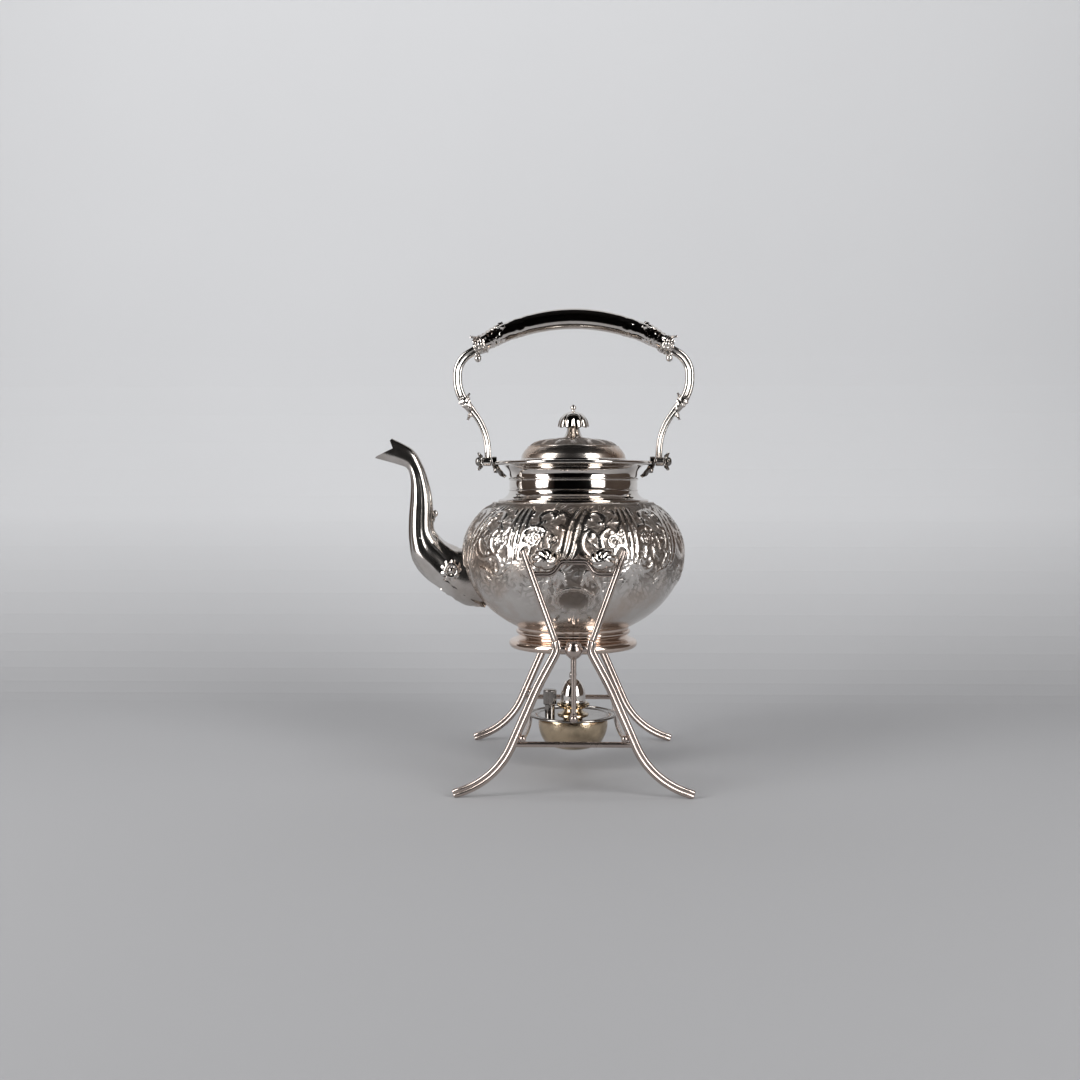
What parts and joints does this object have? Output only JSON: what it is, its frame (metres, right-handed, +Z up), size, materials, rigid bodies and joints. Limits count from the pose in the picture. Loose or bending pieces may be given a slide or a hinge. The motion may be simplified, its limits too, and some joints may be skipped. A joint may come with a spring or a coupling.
{
  "type": "spirit kettle on stand",
  "caption": "Chased bun-shaped spirit kettle hung by ball lugs in a reeded hourglass stand, with hinged dome lid, swinging bail handle and lift-out burner.",
  "frame": {"origin": "on the table under the middle of the stand", "axes": "+Z up, +X away from the spout, +Y from the pictured side to the far side"},
  "size_m": [0.2651, 0.2236, 0.382],
  "materials": {
    "silver_plate": "polished silver plate, softened in the chasing",
    "stand_plate": "polished silver plate, a little worn on the reeds",
    "burner_plate_metal": "plate worn warm towards the brass below",
    "steel_pin": "turned",
    "cotton_wick": "braided",
    "leather_washer": "pressed"
  },
  "bodies": {
    "stand": {"leg_front_left": "stand_plate", "leg_front_right": "stand_plate", "leg_rear_left": "stand_plate", "leg_rear_right": "stand_plate", "upright_front_left": "stand_plate", "upright_front_right": "stand_plate", "upright_rear_left": "stand_plate", "upright_rear_right": "stand_plate", "cradle_front": "stand_plate", "cradle_rear": "stand_plate", "waist_boss_front": "stand_plate", "waist_boss_rear": "stand_plate", "pendant_front": "stand_plate", "pendant_rear": "stand_plate", "stretcher_front": "stand_plate", "stretcher_rear": "stand_plate", "side_bar_left": "stand_plate", "side_bar_right": "stand_plate"},
    "spout_lugs": {"spout_lug_front": "silver_plate", "spout_lug_rear": "silver_plate"},
    "kettle": {"body_shell": "silver_plate", "foot_ring": "silver_plate", "neck": "silver_plate", "mouth_ring": "silver_plate", "spout": "silver_plate", "spout_rosette_front": "silver_plate", "spout_rosette_rear": "silver_plate", "back_lug_front": "silver_plate", "back_lug_rear": "silver_plate", "lug_pad_front": "silver_plate", "lug_pad_rear": "silver_plate", "handle_bracket_left": "silver_plate", "handle_bracket_right": "silver_plate", "pivot_pin_left": "steel_pin", "pivot_pin_right": "steel_pin", "flower_nut_left": "silver_plate", "flower_nut_right": "silver_plate", "hinge_leaf_neck": "silver_plate", "hinge_pin": "steel_pin"},
    "lid": {"lid_dome": "silver_plate", "lid_bezel": "silver_plate", "hinge_leaf_lid": "silver_plate", "finial_stem": "silver_plate", "finial_cap": "silver_plate", "finial_button": "silver_plate", "finial_nut": "steel_pin"},
    "handle": {"handle_arm_left": "silver_plate", "handle_arm_right": "silver_plate", "grip": "silver_plate", "collar_left": "silver_plate", "collar_right": "silver_plate"},
    "burner": {"burner_bowl": "burner_plate_metal", "burner_plate": "burner_plate_metal", "wick_gallery": "burner_plate_metal", "wick": "cotton_wick", "filler_neck": "burner_plate_metal"},
    "filler_cap": {"filler_cap": "burner_plate_metal", "filler_washer": "leather_washer"},
    "snuffer": {"snuffer_dome": "silver_plate", "snuffer_knob": "silver_plate"}
  },
  "joints": [
    {"name": "kettle_lift", "type": "slide", "parent": "stand", "child": "spout_lugs", "axis": [0, 0, 1], "range_m": [0, 0.12]},
    {"name": "kettle_tilt", "type": "hinge", "parent": "spout_lugs", "child": "kettle", "pos_m": [-0.0218, 0, 0.18075], "axis": [0, -1, 0], "range_deg": [0, 60]},
    {"name": "lid_hinge", "type": "hinge", "parent": "kettle", "child": "lid", "pos_m": [0, 0.048, 0.25815], "axis": [-1, 0, 0], "range_deg": [0, 100]},
    {"name": "handle_swing", "type": "hinge", "parent": "kettle", "child": "handle", "pos_m": [0, 0, 0.2558], "axis": [1, 0, 0], "range_deg": [-110, 110]},
    {"name": "burner_lift", "type": "slide", "parent": "stand", "child": "burner", "axis": [0, 0, 1], "range_m": [0, 0.016]},
    {"name": "snuffer_lift", "type": "slide", "parent": "burner", "child": "snuffer", "axis": [0, 0, 1], "range_m": [0, 0.016]},
    {"name": "filler_cap_turn", "type": "hinge", "parent": "burner", "child": "filler_cap", "pos_m": [-0.0194, 0, 0.058], "axis": [0, 0, 1], "range_deg": [0, 1080]}
  ]
}
